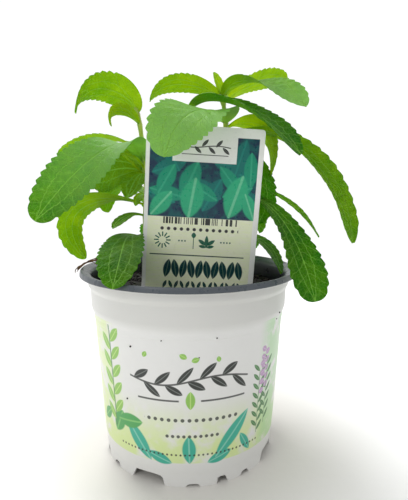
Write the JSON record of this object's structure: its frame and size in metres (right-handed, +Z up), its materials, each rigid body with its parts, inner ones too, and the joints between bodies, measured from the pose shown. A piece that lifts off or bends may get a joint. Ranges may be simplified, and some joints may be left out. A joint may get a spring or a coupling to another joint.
{
  "type": "potted stevia plant",
  "caption": "Young stevia plant with long toothed leaves in a round plastic nursery pot, with potting soil and an upright plant tag.",
  "frame": {"origin": "centre of the pot's foot, on the surface it stands on", "axes": "+Z up along the pot's axis, -Y towards the face of the plant tag, +X to the right seen from the tag's side"},
  "size_m": [0.1666, 0.1409, 0.216],
  "materials": {
    "pot_plastic": "white semi-gloss plastic outside, dark slate inside and on the rim, with a soft leaf print",
    "potting_soil": "damp dark potting soil, crumbly",
    "tag_card": "thin printed plastic card, satin",
    "leaf_green": "fresh thin leaves and green stems, fine hairs, satin",
    "dry_stalk": "dry brown stalk, matt"
  },
  "bodies": {
    "root": {"pot": "pot_plastic", "soil": "potting_soil", "plant_tag": "tag_card", "stem_left": "leaf_green", "stem_middle": "leaf_green", "stem_inner": "leaf_green", "stem_rear_left": "leaf_green", "stem_rear_right": "leaf_green", "dry_stalk": "dry_stalk"}
  },
  "joints": []
}
